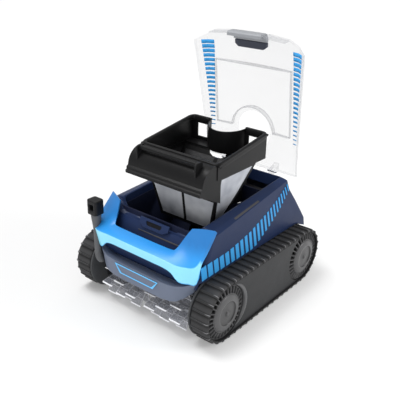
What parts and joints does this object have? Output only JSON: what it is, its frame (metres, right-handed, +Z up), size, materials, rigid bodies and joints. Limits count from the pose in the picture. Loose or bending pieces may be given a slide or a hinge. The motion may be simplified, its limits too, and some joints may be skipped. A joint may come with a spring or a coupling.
{
  "type": "pool cleaner",
  "caption": "Cordless tracked pool-cleaning robot with front brush, blue carrying handle, clear hinged lid and lift-out debris canister.",
  "frame": {"origin": "floor level, midway between the two tracks and midway between the front and rear axles, which is within 3 mm of the middle of the object's box", "axes": "+Z up, -Y to the front (brush and carrying handle), +X towards the track on the viewer's right when the handle faces the viewer"},
  "size_m": [0.4374, 0.496, 0.6349],
  "materials": {
    "navy_shell": "satin moulded plastic",
    "bright_blue": "satin gloss",
    "stripe_blue": "satin",
    "lip_grey": "satin",
    "post_grey": "satin",
    "black_plastic": "fine texture",
    "track_rubber": "matt rubber",
    "track_plastic": "matt",
    "cover_grey": "satin",
    "steel": "brushed",
    "clear_rubber": "translucent soft rubber",
    "sieve_mesh": "fine woven filter mesh",
    "clear_plastic": "clear polished plastic"
  },
  "bodies": {
    "chassis": {"badge_plate": "lip_grey", "battery_pack": "black_plastic", "body_shell": "navy_shell", "brush_bracket": "black_plastic", "bumper_handle": "bright_blue", "canister_tub": "navy_shell", "chassis_tray": "black_plastic", "control_box": "black_plastic", "drive_motor_left": "black_plastic", "drive_motor_right": "black_plastic", "flank_insert_left": "stripe_blue", "flank_insert_right": "stripe_blue", "hinge_pin_left": "steel", "hinge_pin_right": "steel", "intake_duct": "black_plastic", "lift_post": "post_grey", "lift_post_cap": "black_plastic", "lower_bumper": "lip_grey", "outlet_duct": "black_plastic", "outlet_grille": "black_plastic", "pump_deck": "black_plastic", "pump_motor": "black_plastic", "side_cover_left": "cover_grey", "side_cover_right": "cover_grey", "side_frame_left": "track_plastic", "side_frame_right": "track_plastic", "track_belt_left": "track_rubber", "track_belt_right": "track_rubber"},
    "wheel_front_left_body": {"wheel_front_left": "track_plastic", "hub_cap_front_left": "cover_grey", "axle_front_left": "steel"},
    "wheel_rear_left_body": {"wheel_rear_left": "track_plastic", "hub_cap_rear_left": "cover_grey", "axle_rear_left": "steel"},
    "wheel_front_right_body": {"wheel_front_right": "track_plastic", "hub_cap_front_right": "cover_grey", "axle_front_right": "steel", "brush_drive_gear": "black_plastic"},
    "wheel_rear_right_body": {"wheel_rear_right": "track_plastic", "hub_cap_rear_right": "cover_grey", "axle_rear_right": "steel"},
    "brush": {"brush_shaft": "steel", "brush_sleeve_left": "clear_rubber", "brush_sleeve_right": "clear_rubber", "brush_pinion": "black_plastic"},
    "impeller_body": {"impeller": "black_plastic"},
    "lid": {"lid_shell": "clear_plastic", "lid_seal_rib": "clear_plastic", "lid_stripe_left": "stripe_blue", "lid_stripe_right": "stripe_blue"},
    "latch": {"lid_latch": "post_grey"},
    "canister": {"canister_frame": "black_plastic", "canister_grip": "black_plastic", "front_mesh_left": "sieve_mesh", "front_mesh_right": "sieve_mesh", "side_mesh_left": "sieve_mesh", "side_mesh_right": "sieve_mesh", "rear_mesh_left": "sieve_mesh", "rear_mesh_right": "sieve_mesh"},
    "flap": {"inlet_flap": "black_plastic"}
  },
  "joints": [
    {"name": "lid_hinge", "type": "hinge", "parent": "chassis", "child": "lid", "pos_m": [0, 0.2, 0.274], "axis": [-1, 0, 0], "range_deg": [-88, 0]},
    {"name": "canister_lift", "type": "slide", "parent": "chassis", "child": "canister", "axis": [0, 0, 1], "range_m": [-0.1351, 0.0001]},
    {"name": "lid_latch_pull", "type": "hinge", "parent": "lid", "child": "latch", "pos_m": [0, 0.17849, 0.61472], "axis": [-1, 0, 0], "range_deg": [0, 20], "stiffness_Nm_per_rad": 0.3, "springref_deg": -8.59},
    {"name": "inlet_flap_swing", "type": "hinge", "parent": "canister", "child": "flap", "pos_m": [0, -0.03283, 0.22289], "axis": [-1, 0, 0], "range_deg": [0, 60], "stiffness_Nm_per_rad": 0.02, "springref_deg": -11.46},
    {"name": "left_track_drive", "type": "hinge", "parent": "chassis", "child": "wheel_rear_left_body", "pos_m": [-0.19, 0.1695, 0.0757], "axis": [1, 0, 0], "continuous": true},
    {"name": "left_front_wheel", "type": "hinge", "parent": "chassis", "child": "wheel_front_left_body", "pos_m": [-0.19, -0.1695, 0.0757], "axis": [1, 0, 0], "continuous": true},
    {"name": "right_track_drive", "type": "hinge", "parent": "chassis", "child": "wheel_rear_right_body", "pos_m": [0.19, 0.1695, 0.0757], "axis": [1, 0, 0], "continuous": true},
    {"name": "right_front_wheel", "type": "hinge", "parent": "chassis", "child": "wheel_front_right_body", "pos_m": [0.19, -0.1695, 0.0757], "axis": [1, 0, 0], "continuous": true},
    {"name": "brush_spin", "type": "hinge", "parent": "chassis", "child": "brush", "pos_m": [0, -0.186, 0.053], "axis": [1, 0, 0], "continuous": true},
    {"name": "impeller_spin", "type": "hinge", "parent": "chassis", "child": "impeller_body", "pos_m": [0, 0.107, 0.23], "axis": [0, 0, 1], "continuous": true}
  ],
  "couplings": [
    {"joint": "canister_lift", "follows": "lid_hinge", "m_per_rad": 0.087897},
    {"joint": "left_front_wheel", "follows": "left_track_drive", "ratio": 1},
    {"joint": "right_front_wheel", "follows": "right_track_drive", "ratio": 1},
    {"joint": "brush_spin", "follows": "right_track_drive", "ratio": -1.8}
  ]
}
